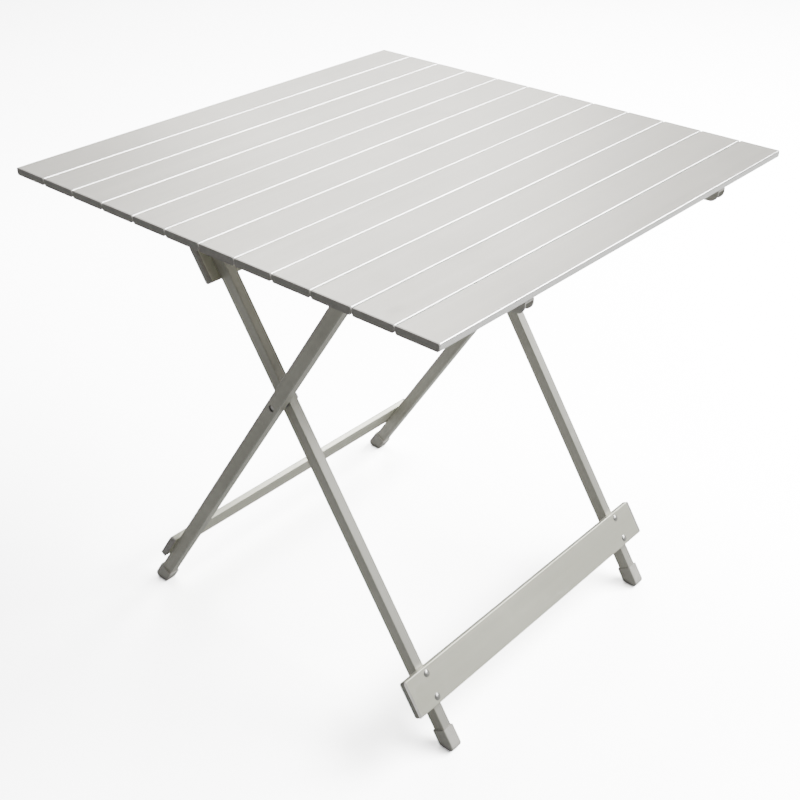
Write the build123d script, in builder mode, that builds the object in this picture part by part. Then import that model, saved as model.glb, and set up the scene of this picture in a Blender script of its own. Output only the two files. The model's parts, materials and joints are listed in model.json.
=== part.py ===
from build123d import *
from math import cos, radians, sin
import os

# Folding picnic table: a slatted aluminium top on two channel rails, carried by two crossed leg frames.
#
# Origin on the floor under the middle of the top, +Z up, slats along Y. Millimetres.
# The inner frame hinges under the rails at -X. The outer frame's bar sits in two hooks under the rails at +X.

os.makedirs("parts", exist_ok=True)

# Top
table_height = 694.5  # floor to the slats' upper face
slat_count = 12
slat_pitch = 58.7
slat_gap = 1.6
slat_length = 700.0  # with its two end caps
slat_thickness = 9.8
slat_wall = 1.2
slat_top_round = 1.5
slat_bottom_round = 3.0
slat_chambers = 3
cap_plate = 2.0  # thickness of an end cap outside its slat
cap_tongue = 7.0  # how far a cap's tongues reach into the slat
tongue_clearance = 0.15

# Rails under the slats
rail_inset = 148.5  # from the slats' ends to the middle of a rail
rail_width = 16.0
rail_depth = 16.0
rail_web = 2.0
rail_flange = 1.6
rail_end_round = 12.0
rail_end_inset = 1.0  # from the outermost slat's edge
rivet_radius = 2.0
rivet_head_radius = 3.6
rivet_head_height = 1.1
rivet_tail_radius = 2.8
rivet_tail_height = 1.6
hole_clearance = 0.05

# Leg frames
lean = 33.4  # degrees from upright
pivot_share = 0.6228  # the pivot's height as a share of the table's
leg_depth = 20.0  # in the plane of the cross
leg_width = 15.0  # along Y
leg_wall = 1.5
leg_corner = 1.2
hinge_side_gap = 6.75  # between a hinge bracket and the inner leg
leg_side_gap = 8.25  # between the inner and the outer leg
leg_lift = 14.1  # leg's end above the floor, along the leg
inner_leg_beyond = 7.0  # how far the inner leg runs past its hinge
outer_leg_beyond = 10.0  # how far the outer leg runs past its bar
plug_plate = 1.5
plug_tongue = 1.8

# Feet
foot_wall = 2.0
foot_reach = 31.1  # a foot's upper rim above the floor, along the leg
foot_outer_round = 7.0
foot_inner_round = 4.5
foot_edge_round = 1.8
foot_clearance = 0.1

# Stretchers, cut from a narrower slat section
stretcher_width = 54.0
stretcher_thickness = 9.0
stretcher_round = 1.6
stretcher_cap_plate = 4.0
stretcher_corner = 3.5  # its caps' corners, seen from the front
low_stretcher_overhang = 10.0  # past the outer faces of the outer legs
high_stretcher_overhang = 18.25  # past the outer faces of the inner legs
low_stretcher_up = 95.1  # its middle above the floor, along the leg
high_stretcher_down = 50.0  # its middle below the hinge, along the leg
stretcher_rivet_pitch = 35.0
stretcher_rivet_radius = 2.4
stretcher_head_radius = 5.2
stretcher_head_height = 2.0
stretcher_tail_radius = 3.4
stretcher_tail_height = 2.5

# Middle pivot
pivot_bolt_radius = 3.0
pivot_head_radius = 4.2
pivot_head_height = 3.2
bolt_crown_round = 1.4
shaft_past_nut = 1.0
pivot_head_sink = 1.8  # head's crown below the outer leg's face
pivot_access_clearance = 0.6
pivot_spacer_radius = 8.0
pivot_bush_radius = 4.6  # inside the outer leg, under the bolt's head
pivot_play = 0.35  # along Y, between the two frames and between a frame and the top
nut_radius = 5.8
nut_height = 5.0

# Hinge between the inner frame and the rails
hinge_drop = 41.0  # below the slats' underside
hinge_bolt_radius = 3.0
hinge_head_radius = 5.0
hinge_head_height = 2.6
hinge_spacer_radius = 6.0
bracket_thickness = 2.5
bracket_length = 30.0  # along the rail
bracket_offset = 9.0  # its near end's distance from the hinge, so that the bar can come close
bracket_end_radius = 8.5
bracket_corner = 3.0
bracket_overlap = 13.0  # how far the bracket reaches up the rail's flange
bracket_rivet_pitch = 15.0

# Bar across the outer frame and the hooks that hold it
bar_beyond = 17.0  # how much further than the hinge the bar is from the pivot
bar_radius = 6.0
bar_wall = 1.5
bar_fit = 0.1
bar_plug_length = 14.0
bar_screw_radius = 2.5
bar_screw_head_radius = 4.6
bar_screw_head_height = 2.4
hook_clearance = 0.75  # the bar rises a little as it slides out
hook_wall = 4.5
hook_lip = 8.0
hook_side_clearance = 0.25
hook_length = 40.0
hook_mouth_round = 1.2
hook_back_round = 2.5
hook_rivet_pitch = 22.0

# Worked out from the sizes above
slat_width = slat_pitch - slat_gap
top_span = slat_count * slat_pitch - slat_gap
slat_underside = table_height - slat_thickness
slat_middle = table_height - slat_thickness / 2
slat_body_half = slat_length / 2 - cap_plate
rail_bottom = slat_underside - rail_depth
rail_half = top_span / 2 - rail_end_inset
rail_y = slat_length / 2 - rail_inset
inner_leg_y = rail_y + rail_width / 2 + bracket_thickness + hinge_side_gap + leg_width / 2
outer_leg_y = inner_leg_y + leg_width + leg_side_gap
inner_face_y = inner_leg_y + leg_width / 2  # inner leg's face towards the outer leg
outer_face_y = outer_leg_y + leg_width / 2
lean_sin = sin(radians(lean))
lean_cos = cos(radians(lean))

# Distances along a leg are from the pivot, upwards positive
pivot_height = pivot_share * table_height
floor_at = -pivot_height / lean_cos
leg_foot_end = floor_at + leg_lift
foot_top = floor_at + foot_reach
low_stretcher_at = floor_at + low_stretcher_up
hinge_at = (slat_underside - hinge_drop - pivot_height) / lean_cos
high_stretcher_at = hinge_at - high_stretcher_down
bar_at = hinge_at + bar_beyond
inner_leg_top = hinge_at + inner_leg_beyond
outer_leg_top = bar_at + outer_leg_beyond
low_stretcher_half = outer_face_y + low_stretcher_overhang
high_stretcher_half = inner_face_y + high_stretcher_overhang
hinge_x = -hinge_at * lean_sin
hinge_z = pivot_height + hinge_at * lean_cos
bar_x = bar_at * lean_sin
bar_z = pivot_height + bar_at * lean_cos
sides = {"front": -1, "back": 1}
slat_places = [(i - (slat_count - 1) / 2) * slat_pitch for i in range(slat_count)]


def save(piece, name):
    """Labels a finished piece and writes its STEP file."""
    piece.part.label = name
    export_step(piece.part, f"parts/{name}.step")


def leg_plane(top_side, along, y=0.0):
    """A plane across a leg: local z runs up the leg, local x towards +X, local y is +Y.

    top_side is -1 for the inner frame, whose legs lean to -X at the top, and 1 for the outer frame.
    """
    up = Vector(top_side * lean_sin, 0, lean_cos)
    across = Vector(lean_cos, 0, -top_side * lean_sin)
    return Plane(Vector(0, y, pivot_height) + up * along, x_dir=across, z_dir=up)


def side_plane(y, outward):
    """A plane facing along Y at that y; outward is the sign of its normal. Local x is outward times -X."""
    return Plane((0, y, 0), x_dir=(-outward, 0, 0), z_dir=(0, outward, 0))


def on_side(x, z, outward):
    """Local place on a side plane of a point at that x and z."""
    return (-outward * x, z)


def chamber_sizes(width, thickness, wall, count):
    """Width and height of one hollow of an extruded section, and the pitch between hollows."""
    hollow = (width - (count + 1) * wall) / count
    return hollow, thickness - 2 * wall, hollow + wall


# ---------------------------------------------------------------- slats
hollow_width, hollow_height, hollow_pitch = chamber_sizes(
    slat_width, slat_thickness, slat_wall, slat_chambers
)


for number, slat_x in enumerate(slat_places, start=1):
    with BuildPart() as slat:
        with BuildSketch(Plane((slat_x, 0, slat_middle), x_dir=(1, 0, 0), z_dir=(0, -1, 0))) as section:
            Rectangle(slat_width, slat_thickness)
            fillet(section.vertices().group_by(Axis.Y)[-1], slat_top_round)
            fillet(section.vertices().group_by(Axis.Y)[0], slat_bottom_round)
            with GridLocations(hollow_pitch, 0, slat_chambers, 1):
                Rectangle(hollow_width, hollow_height, mode=Mode.SUBTRACT)
        extrude(amount=slat_body_half, both=True)
        with BuildSketch(Plane.XY.offset(slat_underside)):
            with Locations((slat_x, -rail_y), (slat_x, rail_y)):
                Circle(rivet_radius + hole_clearance)
        extrude(amount=slat_wall, mode=Mode.SUBTRACT)
    save(slat, f"slat_{number:02d}")

for side, sign in sides.items():
    face = Plane((0, sign * slat_body_half, slat_middle), x_dir=(-sign, 0, 0), z_dir=(0, sign, 0))
    with BuildPart() as caps:
        for slat_x in slat_places:
            with BuildSketch(face) as plate:
                with Locations((-sign * slat_x, 0)):
                    Rectangle(slat_width, slat_thickness)
                fillet(plate.vertices().group_by(Axis.Y)[-1], slat_top_round)
                fillet(plate.vertices().group_by(Axis.Y)[0], slat_bottom_round)
            extrude(amount=cap_plate)
            with BuildSketch(face):
                with Locations((-sign * slat_x, 0)):
                    with GridLocations(hollow_pitch, 0, slat_chambers, 1):
                        Rectangle(hollow_width - 2 * tongue_clearance, hollow_height - 2 * tongue_clearance)
            extrude(amount=-cap_tongue)
    save(caps, f"slat_caps_{side}")

# ---------------------------------------------------------------- rails and their rivets
bracket_near = hinge_x - bracket_offset
bracket_far = bracket_near - bracket_length
bracket_middle = (bracket_near + bracket_far) / 2
bracket_rivet_xs = [bracket_middle - bracket_rivet_pitch / 2, bracket_middle + bracket_rivet_pitch / 2]
hook_middle_x = bar_x + hook_length / 2 - hook_lip - bar_radius
hook_rivet_xs = [hook_middle_x - hook_rivet_pitch / 2, hook_middle_x + hook_rivet_pitch / 2]
flange_rivet_z = slat_underside - rail_web - (rail_depth - rail_web) / 2

for side, sign in sides.items():
    with BuildPart() as rail:
        with BuildSketch(Plane((0, sign * rail_y, 0), x_dir=(1, 0, 0), z_dir=(0, -1, 0))) as profile:
            with Locations((0, slat_underside - rail_depth / 2)):
                Rectangle(2 * rail_half, rail_depth)
            fillet(profile.vertices().group_by(Axis.Y)[0], rail_end_round)
        extrude(amount=rail_width / 2, both=True)
        with Locations((0, sign * rail_y, rail_bottom - rail_web)):
            Box(2 * rail_half + 1, rail_width - 2 * rail_flange, rail_depth, mode=Mode.SUBTRACT,
                align=(Align.CENTER, Align.CENTER, Align.MIN))
        with BuildSketch(Plane.XY.offset(slat_underside)):
            with Locations(*[(slat_x, sign * rail_y) for slat_x in slat_places]):
                Circle(rivet_radius + hole_clearance)
        extrude(amount=-rail_web, mode=Mode.SUBTRACT)
        outer_flange = side_plane(sign * (rail_y + rail_width / 2), sign)
        with BuildSketch(outer_flange):
            with Locations(*[on_side(x, flange_rivet_z, sign) for x in bracket_rivet_xs]):
                Circle(rivet_radius + hole_clearance)
        extrude(amount=-rail_flange, mode=Mode.SUBTRACT)
        with BuildSketch(outer_flange):
            with Locations(*[on_side(x, flange_rivet_z, sign) for x in hook_rivet_xs]):
                Circle(rivet_radius + hole_clearance)
        extrude(amount=-rail_width, mode=Mode.SUBTRACT)
    save(rail, f"rail_{side}")

    with BuildPart() as slat_rivets:
        for slat_x in slat_places:
            under_web = Plane((slat_x, sign * rail_y, slat_underside - rail_web))
            with BuildSketch(under_web):
                Circle(rivet_head_radius)
            extrude(amount=-rivet_head_height)
            with BuildSketch(under_web):
                Circle(rivet_radius)
            extrude(amount=rail_web + slat_wall)
            with BuildSketch(under_web.offset(rail_web + slat_wall)):
                Circle(rivet_tail_radius)
            extrude(amount=rivet_tail_height)
        fillet(slat_rivets.edges().filter_by(GeomType.CIRCLE).group_by(Axis.Z)[0], rivet_head_height * 0.6)
    save(slat_rivets, f"slat_rivets_{side}")


def make_rivets(start_y, outward, places, grip, tail, tail_height):
    """Rivets along Y: heads on the face at start_y, shanks through grip, tails beyond, inwards."""
    head_plane = side_plane(start_y, outward)
    spots = [on_side(x, z, outward) for x, z in places]
    with BuildPart() as rivets:
        with BuildSketch(head_plane):
            with Locations(*spots):
                Circle(rivet_head_radius)
        extrude(amount=rivet_head_height)
        with BuildSketch(head_plane):
            with Locations(*spots):
                Circle(rivet_radius)
        extrude(amount=-grip)
        with BuildSketch(head_plane.offset(-grip)):
            with Locations(*spots):
                Circle(tail)
        extrude(amount=-tail_height)
    return rivets


# ---------------------------------------------------------------- hinge brackets and latch hooks
tangent = bracket_end_radius * cos(radians(45))
bracket_corners = [
    (bracket_far, rail_bottom + bracket_overlap),
    (bracket_near, rail_bottom + bracket_overlap),
    (bracket_near, hinge_z),
    (hinge_x, hinge_z),
    (hinge_x - tangent, hinge_z - tangent),
    (bracket_far, rail_bottom),
]
for side, sign in sides.items():
    rail_face = side_plane(sign * (rail_y + rail_width / 2), sign)
    with BuildPart() as bracket:
        with BuildSketch(rail_face) as outline:
            with BuildLine():
                Polyline(*[on_side(x, z, sign) for x, z in bracket_corners], close=True)
            make_face()
            fillet(outline.vertices().group_by(Axis.Y)[-1], bracket_corner)
            with Locations(on_side(hinge_x, hinge_z, sign)):
                Circle(bracket_end_radius)
            with Locations(on_side(hinge_x, hinge_z, sign)):
                Circle(hinge_bolt_radius + hole_clearance, mode=Mode.SUBTRACT)
            with Locations(*[on_side(x, flange_rivet_z, sign) for x in bracket_rivet_xs]):
                Circle(rivet_radius + hole_clearance, mode=Mode.SUBTRACT)
        extrude(amount=bracket_thickness)
    save(bracket, f"hinge_bracket_{side}")

    bracket_rivets = make_rivets(
        sign * (rail_y + rail_width / 2 + bracket_thickness), sign,
        [(x, flange_rivet_z) for x in bracket_rivet_xs],
        bracket_thickness + rail_flange, rivet_tail_radius, rivet_tail_height,
    )
    save(bracket_rivets, f"bracket_rivets_{side}")

    hook_half = rail_width / 2 - rail_flange - hook_side_clearance
    hook_inside = bar_radius + hook_clearance
    hook_outside = hook_inside + hook_wall
    hook_left = bar_x - bar_radius - hook_lip
    hook_top = slat_underside - rail_web - rivet_head_height - hook_side_clearance
    with BuildPart() as hook:
        with BuildSketch(Plane((0, sign * rail_y, 0), x_dir=(1, 0, 0), z_dir=(0, -1, 0))):
            with Locations((hook_left + hook_length / 2, (hook_top + bar_z) / 2)):
                Rectangle(hook_length, hook_top - bar_z)
            with Locations((bar_x, bar_z)):
                Circle(hook_outside)
            with Locations(((hook_left + bar_x) / 2, bar_z - hook_inside - hook_wall / 2)):
                Rectangle(bar_x - hook_left, hook_wall)
            with Locations((bar_x, bar_z)):
                Circle(hook_inside, mode=Mode.SUBTRACT)
            with Locations((bar_x - hook_outside, bar_z)):
                Rectangle(2 * hook_outside, 2 * hook_inside, mode=Mode.SUBTRACT)
        extrude(amount=hook_half, both=True)
        fillet(hook.edges().filter_by(Axis.Y).group_by(Axis.X)[0], hook_mouth_round)
        fillet(hook.edges().filter_by(Axis.Y).group_by(Axis.X)[-1], hook_back_round)
        with BuildSketch(Plane((0, sign * rail_y, 0), x_dir=(1, 0, 0), z_dir=(0, -1, 0))):
            with Locations(*[(x, flange_rivet_z) for x in hook_rivet_xs]):
                Circle(rivet_radius + hole_clearance)
        extrude(amount=rail_width, both=True, mode=Mode.SUBTRACT)
    save(hook, f"latch_hook_{side}")

    hook_rivets = make_rivets(
        sign * (rail_y + rail_width / 2), sign, [(x, flange_rivet_z) for x in hook_rivet_xs],
        rail_width, rivet_head_radius, rivet_head_height,
    )
    save(hook_rivets, f"hook_rivets_{side}")

# ---------------------------------------------------------------- legs
rivet_offsets = (-stretcher_rivet_pitch / 2, stretcher_rivet_pitch / 2)
low_rivet_places = [low_stretcher_at + offset for offset in rivet_offsets]
high_rivet_places = [high_stretcher_at + offset for offset in rivet_offsets]


def leg_face_plane(top_side, face_side, y, lift=0.0):
    """A plane on a leg's broad side: local x is +Y, local y runs up the leg, normal towards face_side."""
    across = Vector(lean_cos, 0, -top_side * lean_sin) * face_side
    up = Vector(top_side * lean_sin, 0, lean_cos)
    origin = Vector(0, y, pivot_height) + across * (leg_depth / 2 + lift)
    return Plane(origin, x_dir=up.cross(across), z_dir=across)


def make_leg(top_side, y, sign, top, bore_holes, rivet_faces):
    """A leg tube with its cross holes along Y and its rivet holes in the faces that carry stretchers."""
    with BuildPart() as leg:
        with BuildSketch(leg_plane(top_side, leg_foot_end, y)):
            RectangleRounded(leg_depth, leg_width, leg_corner)
            Rectangle(leg_depth - 2 * leg_wall, leg_width - 2 * leg_wall, mode=Mode.SUBTRACT)
        extrude(amount=top - leg_foot_end)
        for along, radius, from_y, to_y in bore_holes:
            x = top_side * along * lean_sin
            z = pivot_height + along * lean_cos
            with BuildSketch(side_plane(sign * to_y, sign)):
                with Locations(on_side(x, z, sign)):
                    Circle(radius)
            extrude(amount=from_y - to_y, mode=Mode.SUBTRACT)
        for face_side, places in rivet_faces:
            with BuildSketch(leg_face_plane(top_side, face_side, y)):
                with Locations(*[(0, along) for along in places]):
                    Circle(stretcher_rivet_radius + hole_clearance)
            extrude(amount=-leg_wall, mode=Mode.SUBTRACT)
    return leg


inner_low_y = inner_leg_y - leg_width / 2
outer_low_y = outer_leg_y - leg_width / 2
pivot_hole = pivot_bolt_radius + hole_clearance
access_hole = pivot_head_radius + pivot_access_clearance
for side, sign in sides.items():
    inner_leg = make_leg(
        -1, sign * inner_leg_y, sign, inner_leg_top,
        [(0, pivot_hole, inner_low_y, inner_face_y),
         (hinge_at, hinge_bolt_radius + hole_clearance, inner_low_y, inner_face_y)],
        [(1, low_rivet_places), (-1, high_rivet_places)],
    )
    save(inner_leg, f"inner_leg_{side}")
    outer_leg = make_leg(
        1, sign * outer_leg_y, sign, outer_leg_top,
        [(0, pivot_hole, outer_low_y, outer_low_y + leg_wall),
         (0, access_hole, outer_low_y + leg_wall, outer_face_y),
         (bar_at, bar_radius + bar_fit, outer_low_y, outer_low_y + leg_wall),
         (bar_at, bar_screw_radius + hole_clearance, outer_face_y - leg_wall, outer_face_y)],
        [(-1, low_rivet_places)],
    )
    save(outer_leg, f"outer_leg_{side}")

for frame_name, top_side, leg_y, top in (
    ("inner", -1, inner_leg_y, inner_leg_top),
    ("outer", 1, outer_leg_y, outer_leg_top),
):
    with BuildPart() as plugs:
        for sign in sides.values():
            with BuildSketch(leg_plane(top_side, top, sign * leg_y)):
                RectangleRounded(leg_depth, leg_width, leg_corner)
            extrude(amount=plug_plate)
            with BuildSketch(leg_plane(top_side, top, sign * leg_y)):
                Rectangle(leg_depth - 2 * leg_wall - 2 * tongue_clearance,
                          leg_width - 2 * leg_wall - 2 * tongue_clearance)
            extrude(amount=-plug_tongue)
    save(plugs, f"{frame_name}_leg_plugs")

# ---------------------------------------------------------------- feet
foot_half = leg_depth / 2 + foot_wall


def floor_along(across):
    """Distance along a leg at which a line that far towards its outer side meets the floor."""
    return -(pivot_height + across * lean_sin) / lean_cos


for frame_name, top_side, leg_y in (("inner", -1, inner_leg_y), ("outer", 1, outer_leg_y)):
    for side, sign in sides.items():
        up = Vector(top_side * lean_sin, 0, lean_cos)
        outwards = Vector(-top_side * lean_cos, 0, lean_sin)
        hub = Vector(0, sign * leg_y, pivot_height)
        outline_points = [
            hub + outwards * foot_half + up * foot_top,
            hub + outwards * foot_half + up * floor_along(foot_half),
            hub - outwards * foot_half + up * floor_along(-foot_half),
            hub - outwards * foot_half + up * foot_top,
        ]
        with BuildPart() as foot:
            with BuildSketch(Plane((0, sign * leg_y, 0), x_dir=(1, 0, 0), z_dir=(0, -1, 0))) as outline:
                with BuildLine():
                    Polyline(*[(point.X, point.Z) for point in outline_points], close=True)
                make_face()
                sole = outline.vertices().group_by(Axis.Y)[0].sort_by(Axis.X)
                outer_corner = sole[-1] if top_side == -1 else sole[0]
                fillet(outer_corner, foot_outer_round)
                sole = outline.vertices().group_by(Axis.Y)[0].sort_by(Axis.X)
                inner_corner = sole[0] if top_side == -1 else sole[-1]
                fillet(inner_corner, foot_inner_round)
            extrude(amount=leg_width / 2 + foot_wall, both=True)
            long_edges = foot.faces().sort_by(Axis.Y)[0].edges() + foot.faces().sort_by(Axis.Y)[-1].edges()
            fillet(long_edges, foot_edge_round)
            with BuildSketch(leg_plane(top_side, leg_foot_end, sign * leg_y)):
                Rectangle(leg_depth + 2 * foot_clearance, leg_width + 2 * foot_clearance)
            extrude(amount=foot_top - leg_foot_end + foot_wall, mode=Mode.SUBTRACT)
        save(foot, f"{frame_name}_foot_{side}")

# ---------------------------------------------------------------- stretchers
stretcher_hollow, stretcher_hollow_height, stretcher_hollow_pitch = chamber_sizes(
    stretcher_width, stretcher_thickness, slat_wall, slat_chambers
)


def stretcher_plane(top_side, face_side, y, outward=1):
    """A plane across a stretcher at that y: normal along outward times Y, local y pointing off the leg."""
    across = Vector(lean_cos, 0, -top_side * lean_sin) * face_side
    middle = leg_depth / 2 + stretcher_thickness / 2
    origin = Vector(0, y, pivot_height) + across * middle
    normal = Vector(0, outward, 0)
    return Plane(origin, x_dir=across.cross(normal), z_dir=normal)


def stretcher_place(top_side, face_side, along, outward=1):
    """Local place on a stretcher plane of a point that far up the leg."""
    plane = stretcher_plane(top_side, face_side, 0.0, outward)
    up = Vector(top_side * lean_sin, 0, lean_cos)
    return (plane.x_dir.dot(up) * along, 0)


def make_stretcher(top_side, face_side, along, half, leg_y):
    """A hollow stretcher with the rivet holes that fix it to both legs."""
    rivet_places = [along - stretcher_rivet_pitch / 2, along + stretcher_rivet_pitch / 2]
    with BuildPart() as stretcher:
        with BuildSketch(stretcher_plane(top_side, face_side, 0.0)):
            with Locations(stretcher_place(top_side, face_side, along)):
                RectangleRounded(stretcher_width, stretcher_thickness, stretcher_round)
                with GridLocations(stretcher_hollow_pitch, 0, slat_chambers, 1):
                    Rectangle(stretcher_hollow, stretcher_hollow_height, mode=Mode.SUBTRACT)
        extrude(amount=half - stretcher_cap_plate, both=True)
        with BuildSketch(leg_face_plane(top_side, face_side, 0.0)):
            with Locations(*[(y, place) for y in (-leg_y, leg_y) for place in rivet_places]):
                Circle(stretcher_rivet_radius + hole_clearance)
        extrude(amount=stretcher_thickness, mode=Mode.SUBTRACT)
    return stretcher


def make_corner_tool(outline, along, end_y, sign):
    """What a stretcher's two corners lose at one end: squares less their inscribed quarter rounds."""
    with BuildPart() as tool:
        with BuildSketch(outline):
            for edge in (-1, 1):
                corner_at = along + edge * stretcher_width / 2
                inner_at = corner_at - edge * stretcher_corner
                inner_y = end_y - sign * stretcher_corner
                with Locations(((end_y + inner_y) / 2, (corner_at + inner_at) / 2)):
                    Rectangle(stretcher_corner, stretcher_corner)
                with Locations((inner_y, inner_at)):
                    Circle(stretcher_corner, mode=Mode.SUBTRACT)
        extrude(amount=stretcher_thickness)
    return tool.part


def make_stretcher_caps(top_side, stretchers):
    """The end caps of a frame's stretchers, their corners rounded as seen from the front."""
    corner_tools = {
        (along, sign): make_corner_tool(leg_face_plane(top_side, face_side, 0.0), along, sign * half, sign)
        for face_side, along, half in stretchers.values()
        for sign in sides.values()
    }
    with BuildPart() as stretcher_caps:
        for face_side, along, half in stretchers.values():
            for sign in sides.values():
                end = stretcher_plane(top_side, face_side, sign * (half - stretcher_cap_plate), sign)
                place = stretcher_place(top_side, face_side, along, sign)
                with BuildSketch(end):
                    with Locations(place):
                        RectangleRounded(stretcher_width, stretcher_thickness, stretcher_round)
                extrude(amount=stretcher_cap_plate)
                add(corner_tools[along, sign], mode=Mode.SUBTRACT)
                with BuildSketch(end):
                    with Locations(place):
                        with GridLocations(stretcher_hollow_pitch, 0, slat_chambers, 1):
                            Rectangle(stretcher_hollow - 2 * tongue_clearance,
                                      stretcher_hollow_height - 2 * tongue_clearance)
                extrude(amount=-cap_tongue)
    return stretcher_caps


def make_stretcher_rivets(top_side, stretchers, leg_y):
    """A frame's stretcher rivets: domed heads, shanks and tails inside the legs."""
    dome = (stretcher_head_radius**2 + stretcher_head_height**2) / (2 * stretcher_head_height)
    through = stretcher_thickness + leg_wall
    with BuildPart() as rivets:
        for face_side, along, half in stretchers.values():
            outer_face = leg_face_plane(top_side, face_side, 0.0, stretcher_thickness)
            for place in (along - stretcher_rivet_pitch / 2, along + stretcher_rivet_pitch / 2):
                for y in (-leg_y, leg_y):
                    middle = outer_face.from_local_coords((y, place, 0))
                    head = Plane(middle, x_dir=outer_face.x_dir, z_dir=outer_face.z_dir)
                    with BuildSketch(Plane(middle, x_dir=head.x_dir, z_dir=head.y_dir * -1)):
                        with BuildLine():
                            Line((0, 0), (stretcher_head_radius, 0))
                            RadiusArc((stretcher_head_radius, 0), (0, stretcher_head_height), -dome)
                            Line((0, stretcher_head_height), (0, 0))
                        make_face()
                    revolve(axis=Axis(middle, head.z_dir))
                    with BuildSketch(head):
                        Circle(stretcher_rivet_radius)
                    extrude(amount=-through)
                    with BuildSketch(head.offset(-through)):
                        Circle(stretcher_tail_radius)
                    extrude(amount=-stretcher_tail_height)
    return rivets


inner_stretchers = {
    "inner_low_stretcher": (1, low_stretcher_at, low_stretcher_half),
    "inner_high_stretcher": (-1, high_stretcher_at, high_stretcher_half),
}
outer_stretchers = {"outer_low_stretcher": (-1, low_stretcher_at, low_stretcher_half)}
for frame_name, top_side, leg_y, stretchers in (
    ("inner", -1, inner_leg_y, inner_stretchers),
    ("outer", 1, outer_leg_y, outer_stretchers),
):
    for name, (face_side, along, half) in stretchers.items():
        stretcher = make_stretcher(top_side, face_side, along, half, leg_y)
        save(stretcher, name)
    save(make_stretcher_caps(top_side, stretchers), f"{frame_name}_stretcher_caps")
    save(make_stretcher_rivets(top_side, stretchers, leg_y), f"{frame_name}_stretcher_rivets")

# ---------------------------------------------------------------- bolts, spacers and the bar
for side, sign in sides.items():
    head_crown = outer_face_y - pivot_head_sink
    head_seat = head_crown - pivot_head_height
    nut_seat = inner_low_y
    with BuildPart() as pivot_bolt:
        with BuildSketch(side_plane(sign * head_seat, sign)):
            with Locations(on_side(0, pivot_height, sign)):
                Circle(pivot_head_radius)
        extrude(amount=pivot_head_height)
        crowns = pivot_bolt.edges().filter_by(GeomType.CIRCLE).sort_by(Axis.Y)
        fillet(crowns[-1 if sign == 1 else 0], bolt_crown_round)
        with BuildSketch(side_plane(sign * head_seat, sign)):
            with Locations(on_side(0, pivot_height, sign)):
                Circle(pivot_bolt_radius)
        extrude(amount=-(head_seat - nut_seat + nut_height + shaft_past_nut))
    save(pivot_bolt, f"pivot_bolt_{side}")

    bush_start = outer_low_y + leg_wall
    with BuildPart() as pivot_bush:
        with BuildSketch(side_plane(sign * bush_start, sign)):
            with Locations(on_side(0, pivot_height, sign)):
                Circle(pivot_bush_radius)
                Circle(pivot_hole, mode=Mode.SUBTRACT)
        extrude(amount=head_seat - pivot_play - bush_start)
    save(pivot_bush, f"pivot_bush_{side}")

    with BuildPart() as pivot_nut:
        with BuildSketch(side_plane(sign * nut_seat, sign)):
            with Locations(on_side(0, pivot_height, sign)):
                RegularPolygon(nut_radius, 6)
                Circle(pivot_hole, mode=Mode.SUBTRACT)
        extrude(amount=-nut_height)
    save(pivot_nut, f"pivot_nut_{side}")

    with BuildPart() as pivot_spacer:
        with BuildSketch(side_plane(sign * inner_face_y, sign)):
            with Locations(on_side(0, pivot_height, sign)):
                Circle(pivot_spacer_radius)
                Circle(pivot_hole, mode=Mode.SUBTRACT)
        extrude(amount=leg_side_gap - pivot_play)
    save(pivot_spacer, f"pivot_spacer_{side}")

    bracket_outer = rail_y + rail_width / 2 + bracket_thickness
    bracket_inner = rail_y + rail_width / 2
    with BuildPart() as hinge_bolt:
        with BuildSketch(side_plane(sign * inner_face_y, sign)):
            with Locations(on_side(hinge_x, hinge_z, sign)):
                Circle(hinge_head_radius)
        extrude(amount=hinge_head_height)
        crowns = hinge_bolt.edges().filter_by(GeomType.CIRCLE).sort_by(Axis.Y)
        fillet(crowns[-1 if sign == 1 else 0], bolt_crown_round)
        with BuildSketch(side_plane(sign * inner_face_y, sign)):
            with Locations(on_side(hinge_x, hinge_z, sign)):
                Circle(hinge_bolt_radius)
        extrude(amount=-(inner_face_y - bracket_inner + pivot_play + nut_height + shaft_past_nut))
    save(hinge_bolt, f"hinge_bolt_{side}")

    with BuildPart() as hinge_nut:
        with BuildSketch(side_plane(sign * (bracket_inner - pivot_play), sign)):
            with Locations(on_side(hinge_x, hinge_z, sign)):
                RegularPolygon(nut_radius, 6)
                Circle(hinge_bolt_radius + hole_clearance, mode=Mode.SUBTRACT)
        extrude(amount=-nut_height)
    save(hinge_nut, f"hinge_nut_{side}")

    with BuildPart() as hinge_spacer:
        with BuildSketch(side_plane(sign * inner_low_y, sign)):
            with Locations(on_side(hinge_x, hinge_z, sign)):
                Circle(hinge_spacer_radius)
                Circle(hinge_bolt_radius + hole_clearance, mode=Mode.SUBTRACT)
        extrude(amount=-(inner_low_y - bracket_outer - pivot_play))
    save(hinge_spacer, f"hinge_spacer_{side}")

bar_half = outer_face_y - leg_wall
with BuildPart() as bar:
    with BuildSketch(Plane((bar_x, 0, bar_z), x_dir=(1, 0, 0), z_dir=(0, -1, 0))):
        Circle(bar_radius)
        Circle(bar_radius - bar_wall, mode=Mode.SUBTRACT)
    extrude(amount=bar_half, both=True)
save(bar, "outer_top_bar")

with BuildPart() as bar_plugs:
    for sign in sides.values():
        with BuildSketch(side_plane(sign * bar_half, sign)):
            with Locations(on_side(bar_x, bar_z, sign)):
                Circle(bar_radius - bar_wall)
                Circle(bar_screw_radius, mode=Mode.SUBTRACT)
        extrude(amount=-bar_plug_length)
save(bar_plugs, "bar_plugs")

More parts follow.
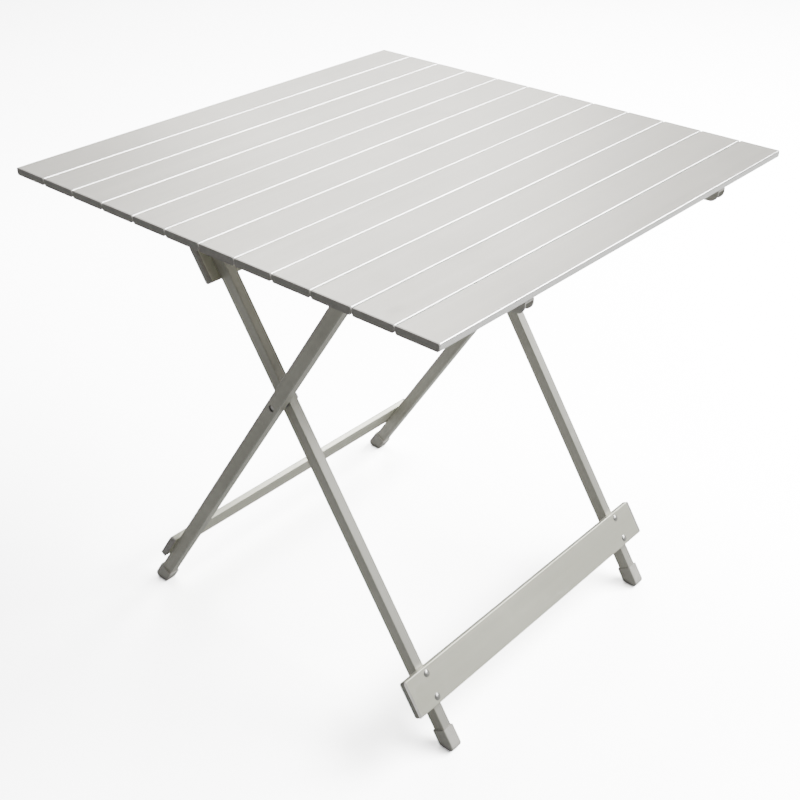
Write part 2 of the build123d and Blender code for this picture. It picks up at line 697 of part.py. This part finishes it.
with BuildPart() as bar_screws:
    for sign in sides.values():
        with BuildSketch(side_plane(sign * outer_face_y, sign)):
            with Locations(on_side(bar_x, bar_z, sign)):
                Circle(bar_screw_head_radius)
        extrude(amount=bar_screw_head_height)
        with BuildSketch(side_plane(sign * outer_face_y, sign)):
            with Locations(on_side(bar_x, bar_z, sign)):
                Circle(bar_screw_radius)
        extrude(amount=-(leg_wall + bar_plug_length))
save(bar_screws, "bar_screws")
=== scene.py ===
import json
import math

import bpy
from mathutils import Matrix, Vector

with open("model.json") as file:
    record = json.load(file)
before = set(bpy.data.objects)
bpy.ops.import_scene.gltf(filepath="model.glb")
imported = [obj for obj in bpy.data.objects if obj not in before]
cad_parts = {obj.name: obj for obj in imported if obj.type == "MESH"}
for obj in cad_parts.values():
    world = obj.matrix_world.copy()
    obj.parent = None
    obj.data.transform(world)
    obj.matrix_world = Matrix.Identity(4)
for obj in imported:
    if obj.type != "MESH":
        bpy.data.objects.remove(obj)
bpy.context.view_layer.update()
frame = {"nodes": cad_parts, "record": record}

print("frame loaded:", len(frame["nodes"]), "parts")


# small helpers for node trees

def addNode(tree, kind, x, y, **values):
    node = tree.nodes.new(kind)
    node.location = (x, y)
    for name, value in values.items():
        setattr(node, name, value)
    return node


def mathNode(tree, operation, x, y, a=None, b=None, clamp=False):
    node = addNode(tree, "ShaderNodeMath", x, y, operation=operation, use_clamp=clamp)
    for socket, value in zip(node.inputs, (a, b)):
        if isinstance(value, bpy.types.NodeSocket):
            tree.links.new(value, socket)
        elif value is not None:
            socket.default_value = value
    return node.outputs[0]


def rangeNode(tree, value, x, y, low, high, newLow, newHigh, smooth=False):
    node = addNode(tree, "ShaderNodeMapRange", x, y)
    if smooth:
        node.interpolation_type = "SMOOTHSTEP"
    tree.links.new(value, node.inputs["Value"])
    node.inputs["From Min"].default_value = low
    node.inputs["From Max"].default_value = high
    node.inputs["To Min"].default_value = newLow
    node.inputs["To Max"].default_value = newHigh
    return node.outputs["Result"]


def mixColour(tree, factor, first, second, x, y):
    node = addNode(tree, "ShaderNodeMix", x, y, data_type="RGBA")
    for socket, value in ((node.inputs[0], factor), (node.inputs[6], first), (node.inputs[7], second)):
        if isinstance(value, bpy.types.NodeSocket):
            tree.links.new(value, socket)
        else:
            socket.default_value = value if isinstance(value, float) else (*value, 1.0)
    return node.outputs[2]


def newGroup(name, inputs, outputs):
    group = bpy.data.node_groups.new(name, "ShaderNodeTree")
    for label, kind, value in inputs:
        socket = group.interface.new_socket(name=label, in_out="INPUT", socket_type=kind)
        if value is not None:
            socket.default_value = value
    for label, kind in outputs:
        group.interface.new_socket(name=label, in_out="OUTPUT", socket_type=kind)
    return group, addNode(group, "NodeGroupInput", -900, 0), addNode(group, "NodeGroupOutput", 700, 0)


def placeGroup(tree, group, x, y, **inputs):
    node = addNode(tree, "ShaderNodeGroup", x, y, node_tree=group)
    for label, value in inputs.items():
        socket = node.inputs[label]
        if isinstance(value, bpy.types.NodeSocket):
            tree.links.new(value, socket)
        else:
            socket.default_value = value
    return node


# shared surface effects

def buildDrawnGrain():
    # long fine lines left by the extrusion die, closer together across than along
    group, given, result = newGroup(
        "Drawn grain",
        [("Place", "NodeSocketVector", None), ("Stretch", "NodeSocketVector", (900.0, 6.0, 900.0)),
         ("Bands", "NodeSocketVector", (110.0, 1.2, 110.0))],
        [("Lines", "NodeSocketFloat"), ("Streaks", "NodeSocketFloat")])
    links = group.links
    for label, output, detail, y in (("Stretch", "Lines", 4.0, 150), ("Bands", "Streaks", 2.0, -150)):
        scaled = addNode(group, "ShaderNodeVectorMath", -600, y, operation="MULTIPLY")
        links.new(given.outputs["Place"], scaled.inputs[0])
        links.new(given.outputs[label], scaled.inputs[1])
        noise = addNode(group, "ShaderNodeTexNoise", -350, y)
        noise.inputs["Scale"].default_value = 1.0
        noise.inputs["Detail"].default_value = detail
        noise.inputs["Roughness"].default_value = 0.55
        links.new(scaled.outputs[0], noise.inputs["Vector"])
        links.new(rangeNode(group, noise.outputs["Fac"], 0, y, 0.25, 0.75, 0.0, 1.0), result.inputs[output])
    return group


def buildSoftMarks():
    # broad cloudy variation, and the faint smears that hands and cloths leave
    group, given, result = newGroup(
        "Soft marks",
        [("Place", "NodeSocketVector", None), ("Size", "NodeSocketFloat", 6.0),
         ("Seed", "NodeSocketFloat", 0.0)],
        [("Clouds", "NodeSocketFloat"), ("Smears", "NodeSocketFloat")])
    links = group.links
    shifted = addNode(group, "ShaderNodeVectorMath", -650, 100, operation="ADD")
    links.new(given.outputs["Place"], shifted.inputs[0])
    links.new(given.outputs["Seed"], shifted.inputs[1])
    clouds = addNode(group, "ShaderNodeTexNoise", -400, 200)
    clouds.inputs["Detail"].default_value = 3.0
    clouds.inputs["Distortion"].default_value = 0.4
    links.new(shifted.outputs[0], clouds.inputs["Vector"])
    links.new(given.outputs["Size"], clouds.inputs["Scale"])
    links.new(rangeNode(group, clouds.outputs["Fac"], 0, 200, 0.32, 0.68, 0.0, 1.0, smooth=True),
              result.inputs["Clouds"])
    smears = addNode(group, "ShaderNodeTexNoise", -400, -150)
    smears.inputs["Detail"].default_value = 6.0
    smears.inputs["Roughness"].default_value = 0.7
    smears.inputs["Distortion"].default_value = 1.6
    links.new(shifted.outputs[0], smears.inputs["Vector"])
    links.new(mathNode(group, "MULTIPLY", -600, -200, given.outputs["Size"], 4.0), smears.inputs["Scale"])
    links.new(rangeNode(group, smears.outputs["Fac"], 0, -150, 0.56, 0.74, 0.0, 1.0, smooth=True),
              result.inputs["Smears"])
    return group


def buildWornAndHighlitEdges():
    # a broken line where two faces meet, which the finishes lighten partly as wear and partly as a painted
    # highlight
    group, given, result = newGroup(
        "Worn and highlit edges",
        [("Place", "NodeSocketVector", None), ("Reach", "NodeSocketFloat", 0.0008)],
        [("Mask", "NodeSocketFloat")])
    links = group.links
    softNormal = addNode(group, "ShaderNodeBevel", -650, 150, samples=6)
    links.new(given.outputs["Reach"], softNormal.inputs["Radius"])
    surface = addNode(group, "ShaderNodeNewGeometry", -650, -50)
    turn = addNode(group, "ShaderNodeVectorMath", -400, 100, operation="DOT_PRODUCT")
    links.new(softNormal.outputs[0], turn.inputs[0])
    links.new(surface.outputs["Normal"], turn.inputs[1])
    edge = rangeNode(group, turn.outputs["Value"], -150, 100, 0.995, 0.8, 0.0, 1.0)
    breakUp = addNode(group, "ShaderNodeTexNoise", -400, -200)
    breakUp.inputs["Scale"].default_value = 260.0
    breakUp.inputs["Detail"].default_value = 4.0
    links.new(given.outputs["Place"], breakUp.inputs["Vector"])
    broken = rangeNode(group, breakUp.outputs["Fac"], -150, -200, 0.38, 0.62, 0.25, 1.0)
    links.new(mathNode(group, "MULTIPLY", 250, 0, edge, broken, clamp=True), result.inputs["Mask"])
    return group


def buildMouldedSkin():
    # the fine pimpled skin of a spark-eroded mould
    group, given, result = newGroup(
        "Moulded skin",
        [("Place", "NodeSocketVector", None), ("Fineness", "NodeSocketFloat", 1400.0)],
        [("Pimples", "NodeSocketFloat"), ("Flow", "NodeSocketFloat")])
    links = group.links
    pimples = addNode(group, "ShaderNodeTexVoronoi", -400, 150)
    links.new(given.outputs["Place"], pimples.inputs["Vector"])
    links.new(given.outputs["Fineness"], pimples.inputs["Scale"])
    links.new(pimples.outputs["Distance"], result.inputs["Pimples"])
    flow = addNode(group, "ShaderNodeTexNoise", -400, -150)
    flow.inputs["Scale"].default_value = 60.0
    flow.inputs["Detail"].default_value = 3.0
    flow.inputs["Distortion"].default_value = 0.8
    links.new(given.outputs["Place"], flow.inputs["Vector"])
    links.new(rangeNode(group, flow.outputs["Fac"], 0, -150, 0.3, 0.7, 0.0, 1.0, smooth=True),
              result.inputs["Flow"])
    return group


def buildSettledDust():
    # a thin film on faces that look upwards
    group, given, result = newGroup(
        "Settled dust", [("Place", "NodeSocketVector", None)], [("Mask", "NodeSocketFloat")])
    links = group.links
    surface = addNode(group, "ShaderNodeNewGeometry", -650, 100)
    split = addNode(group, "ShaderNodeSeparateXYZ", -450, 100)
    links.new(surface.outputs["Normal"], split.inputs[0])
    upward = rangeNode(group, split.outputs["Z"], -200, 100, 0.3, 1.0, 0.0, 1.0, smooth=True)
    patches = addNode(group, "ShaderNodeTexNoise", -450, -150)
    patches.inputs["Scale"].default_value = 28.0
    patches.inputs["Detail"].default_value = 8.0
    patches.inputs["Roughness"].default_value = 0.65
    links.new(given.outputs["Place"], patches.inputs["Vector"])
    patchy = rangeNode(group, patches.outputs["Fac"], -200, -150, 0.4, 0.75, 0.0, 1.0)
    links.new(mathNode(group, "MULTIPLY", 250, 0, upward, patchy, clamp=True), result.inputs["Mask"])
    return group


drawnGrain = buildDrawnGrain()
softMarks = buildSoftMarks()
wornAndHighlitEdges = buildWornAndHighlitEdges()
mouldedSkin = buildMouldedSkin()
settledDust = buildSettledDust()
print("shared effects built")


# finishes

def startMaterial(name):
    material = bpy.data.materials.new(name)
    material.use_nodes = True
    tree = material.node_tree
    shader = tree.nodes["Principled BSDF"]
    place = addNode(tree, "ShaderNodeTexCoord", -1500, 0).outputs["Object"]
    return material, tree, shader, place


def turnedPlace(tree, place, tilt):
    # turns the coordinates about Y, so that their Z runs along a leaning leg
    turned = addNode(tree, "ShaderNodeMapping", -1300, 0)
    turned.inputs["Rotation"].default_value = (0.0, tilt, 0.0)
    tree.links.new(place, turned.inputs["Vector"])
    return turned.outputs[0]


def setBump(tree, shader, height, strength, distance):
    bump = addNode(tree, "ShaderNodeBump", -250, -400)
    bump.inputs["Strength"].default_value = strength
    bump.inputs["Distance"].default_value = distance
    tree.links.new(height, bump.inputs["Height"])
    tree.links.new(bump.outputs[0], shader.inputs["Normal"])


def polishAndHighlightLips(tree, shader, look):
    # the rounded long edges of a slat are drawn smoother than its face, so they catch the light, and their
    # colour is also lightened toward the pale edge colour as a painted highlight
    # they are told by the world normal, so a top tilted past about 27 degrees counts as lip all over
    surface = addNode(tree, "ShaderNodeNewGeometry", -700, -700)
    split = addNode(tree, "ShaderNodeSeparateXYZ", -520, -700)
    tree.links.new(surface.outputs["Normal"], split.inputs[0])
    sideways = mathNode(tree, "ABSOLUTE", -350, -700, split.outputs["X"])
    lip = rangeNode(tree, sideways, -180, -700, look["lipFrom"], look["lipTo"], 0.0, 1.0, smooth=True)
    old = {label: shader.inputs[label].links[0].from_socket for label in ("Base Color", "Roughness")}
    # painted highlight: the lips are mixed toward the near-white edge colour
    tree.links.new(mixColour(tree, mathNode(tree, "MULTIPLY", -20, -600, lip, look["lip"]),
                             old["Base Color"], look["edgeColour"], 300, 100), shader.inputs["Base Color"])
    smoother = mathNode(tree, "MULTIPLY", -20, -800, lip, look["lipPolish"])
    tree.links.new(mathNode(tree, "SUBTRACT", 150, -300, old["Roughness"], smoother, clamp=True),
                   shader.inputs["Roughness"])
    tree.links.new(rangeNode(tree, lip, 150, -500, 0.0, 1.0, look["metal"], 1.0), shader.inputs["Metallic"])


def anodisedAluminium(name, look):
    # satin anodised extrusion: fine drawn lines, cloudy tone, edges brightened partly by rubbing and partly
    # by a painted highlight
    material, tree, shader, place = startMaterial(name)
    link = tree.links.new
    grainPlace = turnedPlace(tree, place, look["tilt"]) if look["tilt"] else place
    grain = placeGroup(tree, drawnGrain, -1050, 250, Place=grainPlace, Stretch=look["lines"],
                       Bands=look["bands"])
    marks = placeGroup(tree, softMarks, -1050, 0, Place=place, Size=look["cloudSize"], Seed=look["seed"])
    edges = placeGroup(tree, wornAndHighlitEdges, -1050, -200, Place=place, Reach=look["edgeReach"])
    dust = placeGroup(tree, settledDust, -1050, -350, Place=place)
    tone = mixColour(tree, marks.outputs["Clouds"], look["dark"], look["light"], -700, 250)
    streakShare = mathNode(tree, "MULTIPLY", -850, 420, grain.outputs["Streaks"], look["streak"])
    streaked = mixColour(tree, streakShare, tone, look["streakColour"], -500, 250)
    if look["pitch"]:
        # every slat came from a slightly different length of extrusion
        axes = addNode(tree, "ShaderNodeSeparateXYZ", -1050, 600)
        link(place, axes.inputs[0])
        slatsAlong = mathNode(tree, "DIVIDE", -870, 600, axes.outputs["X"], look["pitch"])
        number = mathNode(tree, "FLOOR", -700, 600, slatsAlong)
        lot = addNode(tree, "ShaderNodeTexWhiteNoise", -520, 600, noise_dimensions="1D")
        link(number, lot.inputs["W"])
        lotShare = mathNode(tree, "MULTIPLY", -340, 600, lot.outputs["Value"], look["lotShift"])
        streaked = mixColour(tree, lotShare, streaked, look["lotColour"], -320, 350)
    smeared = mixColour(tree, mathNode(tree, "MULTIPLY", -500, 60, marks.outputs["Smears"], look["smear"]),
                        streaked, look["smearColour"], -150, 250)
    dusted = mixColour(tree, mathNode(tree, "MULTIPLY", -500, -60, dust.outputs["Mask"], look["dust"]),
                       smeared, look["dustColour"], 0, 250)
    # edges mixed toward the pale edge colour: partly wear, partly a painted highlight
    wornAndHighlit = mixColour(tree, mathNode(tree, "MULTIPLY", -500, -180, edges.outputs["Mask"], look["edge"]),
                     dusted, look["edgeColour"], 150, 250)
    link(wornAndHighlit, shader.inputs["Base Color"])
    base = rangeNode(tree, grain.outputs["Lines"], -500, -320, 0.0, 1.0,
                     look["rough"] - look["roughSpread"], look["rough"] + look["roughSpread"])
    smearRough = mathNode(tree, "MULTIPLY", -450, -470, marks.outputs["Smears"], look["smearRough"])
    rough = mathNode(tree, "ADD", -300, -250, base, smearRough, clamp=True)
    edgeShine = mathNode(tree, "MULTIPLY", -300, -520, edges.outputs["Mask"], look["edgePolish"])
    link(mathNode(tree, "SUBTRACT", -120, -250, rough, edgeShine, clamp=True), shader.inputs["Roughness"])
    shader.inputs["Metallic"].default_value = look["metal"]
    if look["lip"]:
        polishAndHighlightLips(tree, shader, look)
    setBump(tree, shader, grain.outputs["Lines"], look["bump"], look["lineDepth"])
    return material


# edgeColour is near white: on the slats it carries the painted highlight on the lips and, together with wear,
# on the edges
slatLook = {
    "dark": (0.59, 0.57, 0.515), "light": (0.70, 0.675, 0.61), "streakColour": (0.77, 0.745, 0.68),
    "streak": 0.35, "cloudSize": 2.6, "seed": 3.1, "lines": (900.0, 5.0, 900.0), "bands": (90.0, 0.8, 90.0),
    "tilt": 0.0, "rough": 0.42, "roughSpread": 0.05, "metal": 0.55, "bump": 0.25, "lineDepth": 0.0002,
    "smear": 0.10, "smearRough": 0.1, "smearColour": (0.66, 0.66, 0.65),
    "dust": 0.12, "dustColour": (0.62, 0.6, 0.56),
    "edge": 0.85, "edgeColour": (0.97, 0.97, 0.96), "edgeReach": 0.0012, "edgePolish": 0.18,
    "lip": 0.92, "lipPolish": 0.16, "lipFrom": 0.12, "lipTo": 0.45,
    "pitch": 0.0587, "lotShift": 0.22, "lotColour": (0.61, 0.59, 0.54)}
# painted shade: the rail aluminium is a darkened copy of the slat finish, standing in for the rail's shaded
# faces under the top
railLook = dict(slatLook, dark=(0.38, 0.375, 0.35), light=(0.47, 0.465, 0.435), lines=(5.0, 900.0, 900.0),
                bands=(0.8, 120.0, 120.0), cloudSize=9.0, seed=7.7, edge=0.35, pitch=0.0, lip=0.0)
stretcherLook = dict(slatLook, dark=(0.55, 0.548, 0.455), light=(0.63, 0.628, 0.525), cloudSize=5.0,
                     seed=1.4, pitch=0.0, lip=0.0, streakColour=(0.67, 0.668, 0.565), edge=0.4)
leanAngle = math.radians(33.4)  # of the legs, from upright
# painted shade: the leg aluminium is a darkened copy of the slat finish, standing in for the legs' faces
# turned away from the light
innerLegLook = dict(slatLook, dark=(0.43, 0.425, 0.375), light=(0.51, 0.505, 0.45), lines=(900.0, 900.0, 5.0),
                    bands=(120.0, 120.0, 0.9), tilt=leanAngle, cloudSize=7.0, seed=5.2, pitch=0.0,
                    lip=0.0, edge=0.35, streakColour=(0.58, 0.575, 0.515))
outerLegLook = dict(innerLegLook, tilt=-leanAngle, seed=9.6)
barLook = dict(stretcherLook, seed=4.4, rough=0.34)


def zincPlate(name, look):
    # pressed steel with a thin mottled zinc coat
    material, tree, shader, place = startMaterial(name)
    link = tree.links.new
    spangle = addNode(tree, "ShaderNodeTexVoronoi", -1050, 300)
    spangle.inputs["Scale"].default_value = look["spangle"]
    link(place, spangle.inputs["Vector"])
    marks = placeGroup(tree, softMarks, -1050, 0, Place=place, Size=look["cloudSize"], Seed=look["seed"])
    edges = placeGroup(tree, wornAndHighlitEdges, -1050, -200, Place=place, Reach=look["edgeReach"])
    facets = addNode(tree, "ShaderNodeSeparateColor", -850, 300)
    link(spangle.outputs["Color"], facets.inputs[0])
    tone = mixColour(tree, facets.outputs[0], look["dark"], look["light"], -650, 300)
    dulled = mixColour(tree, mathNode(tree, "MULTIPLY", -650, 60, marks.outputs["Clouds"], look["dull"]),
                       tone, look["dullColour"], -400, 250)
    # edges mixed toward the pale edge colour: partly wear, partly a painted highlight
    wornAndHighlit = mixColour(tree, mathNode(tree, "MULTIPLY", -650, -100, edges.outputs["Mask"], look["edge"]),
                     dulled, look["edgeColour"], -150, 250)
    link(wornAndHighlit, shader.inputs["Base Color"])
    link(rangeNode(tree, marks.outputs["Clouds"], -400, -200, 0.0, 1.0,
                   look["rough"] - look["smoother"], look["rough"] + look["rougher"]),
         shader.inputs["Roughness"])
    shader.inputs["Metallic"].default_value = look["metal"]
    setBump(tree, shader, facets.outputs[0], look["bump"], look["facetDepth"])
    return material


bracketLook = {
    "dark": (0.42, 0.42, 0.41), "light": (0.56, 0.56, 0.55), "dull": 0.4, "dullColour": (0.40, 0.40, 0.38),
    "spangle": 420.0, "cloudSize": 40.0, "seed": 2.0,
    "edge": 0.6, "edgeColour": (0.75, 0.75, 0.74), "edgeReach": 0.0006,
    "rough": 0.38, "smoother": 0.08, "rougher": 0.1, "metal": 0.9, "bump": 0.08, "facetDepth": 0.0001}
rivetLook = dict(bracketLook, dark=(0.34, 0.34, 0.32), light=(0.42, 0.42, 0.395),
                 dullColour=(0.30, 0.30, 0.28), spangle=900.0, cloudSize=120.0, seed=6.0,
                 rough=0.33, metal=0.8)
boltLook = dict(bracketLook, dark=(0.66, 0.66, 0.65), light=(0.76, 0.76, 0.75), spangle=1200.0,
                cloudSize=90.0, seed=8.0, rough=0.3, metal=0.95)


def mouldedPlastic(name, look):
    # matt moulding: pimpled skin, slight flow marks, edges lightened partly by scuffing and partly as a
    # painted highlight, and darker towards the bottom of the feet
    material, tree, shader, place = startMaterial(name)
    link = tree.links.new
    skin = placeGroup(tree, mouldedSkin, -1050, 250, Place=place, Fineness=look["fineness"])
    marks = placeGroup(tree, softMarks, -1050, 0, Place=place, Size=look["cloudSize"], Seed=look["seed"])
    edges = placeGroup(tree, wornAndHighlitEdges, -1050, -200, Place=place, Reach=look["edgeReach"])
    dust = placeGroup(tree, settledDust, -1050, -350, Place=place)
    tone = mixColour(tree, skin.outputs["Flow"], look["dark"], look["light"], -750, 300)
    marked = mixColour(tree, mathNode(tree, "MULTIPLY", -750, 60, marks.outputs["Smears"], look["smear"]),
                       tone, look["smearColour"], -500, 250)
    # edges mixed toward a paler colour: partly scuffs, partly a painted highlight
    wornAndHighlit = mixColour(tree, mathNode(tree, "MULTIPLY", -750, -100, edges.outputs["Mask"], look["edge"]),
                     marked, look["edgeColour"], -300, 250)
    dusted = mixColour(tree, mathNode(tree, "MULTIPLY", -750, -240, dust.outputs["Mask"], look["dust"]),
                       wornAndHighlit, look["dustColour"], -120, 250)
    # darker towards the bottom, within lowDarkHeight of the floor
    if look["lowDarkHeight"]:
        axes = addNode(tree, "ShaderNodeSeparateXYZ", -1050, 550)
        link(place, axes.inputs[0])
        low = rangeNode(tree, axes.outputs["Z"], -750, 550, 0.0, look["lowDarkHeight"], 1.0, 0.0, smooth=True)
        lowDarkening = mathNode(tree, "MULTIPLY", -500, 550, low,
                         rangeNode(tree, marks.outputs["Clouds"], -750, 700, 0.0, 1.0, 0.25, 0.8))
        dusted = mixColour(tree, lowDarkening, dusted, look["lowDarkColour"], 80, 300)
    link(dusted, shader.inputs["Base Color"])
    link(rangeNode(tree, skin.outputs["Flow"], -400, -150, 0.0, 1.0,
                   look["rough"] - look["roughSpread"], look["rough"] + look["roughSpread"]),
         shader.inputs["Roughness"])
    setBump(tree, shader, skin.outputs["Pimples"], look["bump"], look["pimpleDepth"])
    return material


capLook = {
    "dark": (0.335, 0.325, 0.30), "light": (0.385, 0.375, 0.35), "fineness": 1600.0, "cloudSize": 20.0,
    "seed": 1.0, "smear": 0.15, "smearColour": (0.48, 0.47, 0.44),
    "edge": 0.35, "edgeColour": (0.60, 0.59, 0.56), "edgeReach": 0.0006,
    "dust": 0.1, "dustColour": (0.6, 0.58, 0.54), "lowDarkHeight": 0.0, "lowDarkColour": (0.16, 0.15, 0.14),
    "rough": 0.55, "roughSpread": 0.06, "bump": 0.35, "pimpleDepth": 0.00015}
footLook = dict(capLook, dark=(0.46, 0.45, 0.41), light=(0.52, 0.51, 0.465), fineness=1200.0, cloudSize=45.0,
                seed=4.0, smear=0.3, edge=0.5, edgeColour=(0.60, 0.59, 0.55), lowDarkHeight=0.010,
                rough=0.6, bump=0.5)
hookLook = dict(capLook, dark=(0.09, 0.09, 0.09), light=(0.12, 0.12, 0.12), smearColour=(0.18, 0.18, 0.18),
                edgeColour=(0.22, 0.22, 0.22), seed=12.0)
spacerLook = dict(capLook, dark=(0.05, 0.05, 0.05), light=(0.07, 0.07, 0.07), smearColour=(0.12, 0.12, 0.12),
                  edgeColour=(0.16, 0.16, 0.16), seed=15.0, rough=0.48)

finishes = {
    "slat_aluminium": anodisedAluminium("slat aluminium", slatLook),
    "rail_aluminium": anodisedAluminium("rail aluminium", railLook),
    "leg_aluminium": anodisedAluminium("inner leg aluminium", innerLegLook),
    "stretcher_aluminium": anodisedAluminium("stretcher aluminium", stretcherLook),
    "bar_aluminium": anodisedAluminium("bar aluminium", barLook),
    "bracket_steel": zincPlate("bracket zinc plate", bracketLook),
    "rivet_steel": zincPlate("rivet heads", rivetLook),
    "bolt_steel": zincPlate("bolt zinc plate", boltLook),
    "cap_plastic": mouldedPlastic("cap plastic", capLook),
    "foot_plastic": mouldedPlastic("foot plastic", footLook),
    "hook_plastic": mouldedPlastic("hook plastic", hookLook),
    "spacer_plastic": mouldedPlastic("spacer plastic", spacerLook),
}
outerLegFinish = anodisedAluminium("outer leg aluminium", outerLegLook)
slotOf = {entry["node"]: entry["material_slot"] for entry in frame["record"]["subparts"]}


def finishFor(nodeName):
    # the outer legs lean the other way, so their drawn lines do too
    if nodeName.startswith("outer_leg_") and "plugs" not in nodeName:
        return outerLegFinish
    return finishes[slotOf[nodeName]]


for nodeName, part in frame["nodes"].items():
    part.data.materials.clear()
    part.data.materials.append(finishFor(nodeName))
print("finishes given to every part")


# studio floor, lights and camera

studio = {
    "floorHalf": 9.0, "floorDrop": 0.0005, "floorColour": (0.36, 0.36, 0.35), "floorRough": 0.9,
    "seenColour": (6.0, 6.0, 6.0), "seenShade": 0.99, "floorLift": 0.2,
    "worldColour": (0.97, 0.98, 1.0), "worldStrength": 0.2, "seenStrength": 5.0}


def buildFloor():
    half = studio["floorHalf"]
    mesh = bpy.data.meshes.new("studio floor")
    corners = [(-half, -half, 0), (half, -half, 0), (half, half, 0), (-half, half, 0)]
    mesh.from_pydata(corners, [], [(0, 1, 2, 3)])
    floor = bpy.data.objects.new("studioFloor", mesh)
    floor.location.z = -studio["floorDrop"]
    bpy.context.collection.objects.link(floor)
    material, tree, shader, place = startMaterial("studio paper")
    tone = placeGroup(tree, softMarks, -900, 0, Place=place, Size=1.2, Seed=0.0)
    # the camera sees brighter paper than the table does, so that it stays pale without washing out the legs
    low = tuple(studio["seenShade"] * value for value in studio["seenColour"])
    seen = addNode(tree, "ShaderNodeLightPath", -700, -300)
    paper = mixColour(tree, tone.outputs["Clouds"], low, studio["seenColour"], -700, 0)
    tree.links.new(mixColour(tree, seen.outputs["Is Camera Ray"], studio["floorColour"], paper, -450, 0),
                   shader.inputs["Base Color"])
    shader.inputs["Roughness"].default_value = studio["floorRough"]
    shader.inputs["Specular IOR Level"].default_value = 0.0
    shader.inputs["Emission Color"].default_value = (1.0, 1.0, 1.0, 1.0)
    tree.links.new(mathNode(tree, "MULTIPLY", -250, -300, seen.outputs["Is Camera Ray"], studio["floorLift"]),
                   shader.inputs["Emission Strength"])
    mesh.materials.append(material)


def addSoftLight(name, place, target, size, power):
    data = bpy.data.lights.new(name, "AREA")
    data.shape = "RECTANGLE"
    data.size, data.size_y = size
    data.energy = power
    light = bpy.data.objects.new(name, data)
    light.location = place
    light.rotation_euler = (Vector(target) - Vector(place)).to_track_quat("-Z", "Y").to_euler()
    bpy.context.collection.objects.link(light)


def buildWorld():
    world = bpy.data.worlds.new("studio air")
    world.use_nodes = True
    tree = world.node_tree
    air = tree.nodes["Background"]
    air.inputs["Color"].default_value = (*studio["worldColour"], 1.0)
    seen = addNode(tree, "ShaderNodeLightPath", -500, 0)
    tree.links.new(rangeNode(tree, seen.outputs["Is Camera Ray"], -250, 0, 0.0, 1.0,
                             studio["worldStrength"], studio["seenStrength"]), air.inputs["Strength"])
    bpy.context.scene.world = world


view = {"azimuth": 41.37, "elevation": 31.63, "lens": 56.41, "filmWidth": 36.0,
        "place": (1.0197, -1.166, 1.281)}


def buildCamera():
    data = bpy.data.cameras.new("tableCamera")
    data.sensor_width = view["filmWidth"]
    data.lens = view["lens"]
    camera = bpy.data.objects.new("tableCamera", data)
    camera.location = view["place"]
    camera.rotation_euler = (math.radians(90.0 - view["elevation"]), 0.0, math.radians(view["azimuth"]))
    bpy.context.collection.objects.link(camera)
    bpy.context.scene.camera = camera


buildFloor()
buildWorld()
buildCamera()
tableMiddle = (0.0, 0.0, 0.5)
lamps = {
    "keyFromRight": {"place": (1.85, 2.9, 3.4), "target": tableMiddle, "size": (3.6, 1.6), "power": 430.0},
    "sidePanel": {"place": (3.1, 0.9, 2.9), "target": tableMiddle, "size": (1.4, 1.0), "power": 75.0},
    "topPanel": {"place": (-1.2, 0.4, 3.2), "target": tableMiddle, "size": (1.6, 1.6), "power": 60.0},
    "farPanel": {"place": (-3.0, 3.2, 3.0), "target": (0.0, 0.0, 0.7), "size": (2.2, 1.8), "power": 85.0},
}
for lampName, lamp in lamps.items():
    addSoftLight(lampName, lamp["place"], lamp["target"], lamp["size"], lamp["power"])
print("studio ready")
